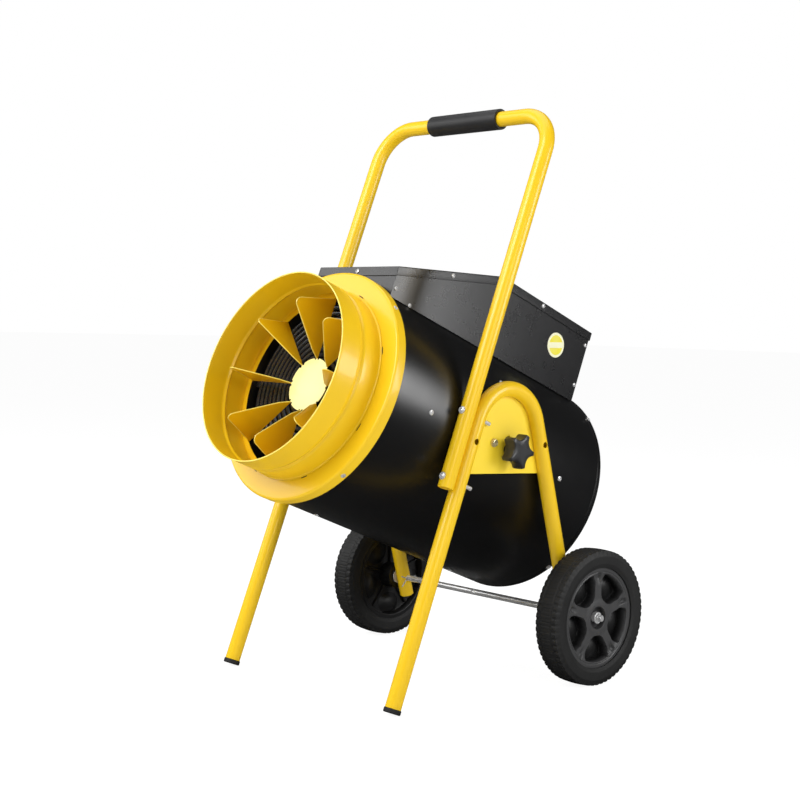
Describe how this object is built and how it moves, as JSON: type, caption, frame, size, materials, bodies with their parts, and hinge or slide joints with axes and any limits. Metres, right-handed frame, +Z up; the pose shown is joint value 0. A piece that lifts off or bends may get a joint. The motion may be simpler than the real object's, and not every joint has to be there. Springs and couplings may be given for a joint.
{
  "type": "forced air heater",
  "caption": "Portable electric fan heater: a tilting drum with guide vanes and a control box, on a trolley with two wheels and a push handle.",
  "frame": {"origin": "on the floor, under the middle of the machine's length and width", "axes": "+X to the machine's left side, -Y the way the outlet faces, +Z up"},
  "size_m": [0.506, 0.654, 0.8717],
  "materials": {
    "yellow_paint": "gloss",
    "black_paint": "gloss",
    "foam_rubber": "matte",
    "wheel_tyre": "matte",
    "black_plastic": "satin",
    "zinc_steel": "satin",
    "galvanised_sheet": "matte",
    "element_sheath": "matte",
    "motor_casting": "matte",
    "lamp_red": "gloss",
    "cream_plastic": "matte"
  },
  "bodies": {
    "trolley": {"side_frame_left": "yellow_paint", "side_frame_right": "yellow_paint", "foot_cap_left": "foam_rubber", "foot_cap_right": "foam_rubber", "side_plate_left": "yellow_paint", "side_plate_right": "yellow_paint", "push_handle": "yellow_paint", "handle_grip": "foam_rubber", "handle_bolt_low_left": "zinc_steel", "handle_bolt_high_left": "zinc_steel", "handle_bolt_low_right": "zinc_steel", "handle_bolt_high_right": "zinc_steel", "axle": "zinc_steel", "split_pin_left": "zinc_steel", "split_pin_right": "zinc_steel", "hub_washer_left": "zinc_steel", "hub_washer_right": "zinc_steel", "axle_nut_left": "zinc_steel", "axle_nut_right": "zinc_steel"},
    "heater": {"drum_shell": "black_paint", "rear_cover": "black_paint", "inlet_guard": "black_paint", "front_flange": "yellow_paint", "outlet_collar": "yellow_paint", "guide_vanes": "yellow_paint", "heating_element_outer": "element_sheath", "heating_element_middle": "element_sheath", "heating_element_inner": "element_sheath", "element_support": "galvanised_sheet", "heat_liner": "galvanised_sheet", "thermal_cutout": "black_plastic", "fan_motor": "motor_casting", "motor_bracket": "galvanised_sheet", "box_lid": "black_paint", "control_box": "black_paint", "control_panel": "black_paint", "selector_switch": "cream_plastic", "thermostat_switch": "cream_plastic", "indicator_lamp": "lamp_red", "cable_gland": "black_plastic", "contactor": "cream_plastic", "pivot_pad_left": "black_paint", "pivot_pad_right": "black_paint", "pivot_bolt_left": "zinc_steel", "pivot_bolt_right": "zinc_steel"},
    "fan": {"motor_shaft": "zinc_steel", "fan_impeller": "black_plastic"},
    "wheel_left": {"wheel_rim_left": "black_plastic", "tyre_left": "wheel_tyre"},
    "wheel_right": {"wheel_rim_right": "black_plastic", "tyre_right": "wheel_tyre"},
    "star_knob_left": {"star_knob_left": "black_plastic"},
    "star_knob_right": {"star_knob_right": "black_plastic"},
    "selector": {"selector_knob": "black_plastic"},
    "thermostat": {"thermostat_knob": "black_plastic"}
  },
  "joints": [
    {"name": "heater_tilt", "type": "hinge", "parent": "trolley", "child": "heater", "pos_m": [0, -0.00212, 0.3688], "axis": [1, 0, 0], "range_deg": [-1.5, 30]},
    {"name": "fan_spin", "type": "hinge", "parent": "heater", "child": "fan", "pos_m": [0, 0.1285, 0.3184], "axis": [0, -0.933, 0.36], "continuous": true},
    {"name": "wheel_left_spin", "type": "hinge", "parent": "trolley", "child": "wheel_left", "pos_m": [0.229, 0.16988, 0.103], "axis": [1, 0, 0], "continuous": true},
    {"name": "wheel_right_spin", "type": "hinge", "parent": "trolley", "child": "wheel_right", "pos_m": [-0.229, 0.16988, 0.103], "axis": [1, 0, 0], "continuous": true},
    {"name": "star_knob_left_turn", "type": "hinge", "parent": "heater", "child": "star_knob_left", "pos_m": [0.2, 0.02774, 0.35728], "axis": [1, 0, 0], "range_deg": [0, 360]},
    {"name": "star_knob_right_turn", "type": "hinge", "parent": "heater", "child": "star_knob_right", "pos_m": [-0.2, 0.02774, 0.35728], "axis": [-1, 0, 0], "range_deg": [0, 360]},
    {"name": "selector_turn", "type": "hinge", "parent": "heater", "child": "selector", "pos_m": [0.04, 0.31093, 0.48007], "axis": [0, 0.933, -0.36], "range_deg": [-120, 0]},
    {"name": "thermostat_turn", "type": "hinge", "parent": "heater", "child": "thermostat", "pos_m": [-0.04, 0.31093, 0.48007], "axis": [0, 0.933, -0.36], "range_deg": [-135, 135]}
  ]
}
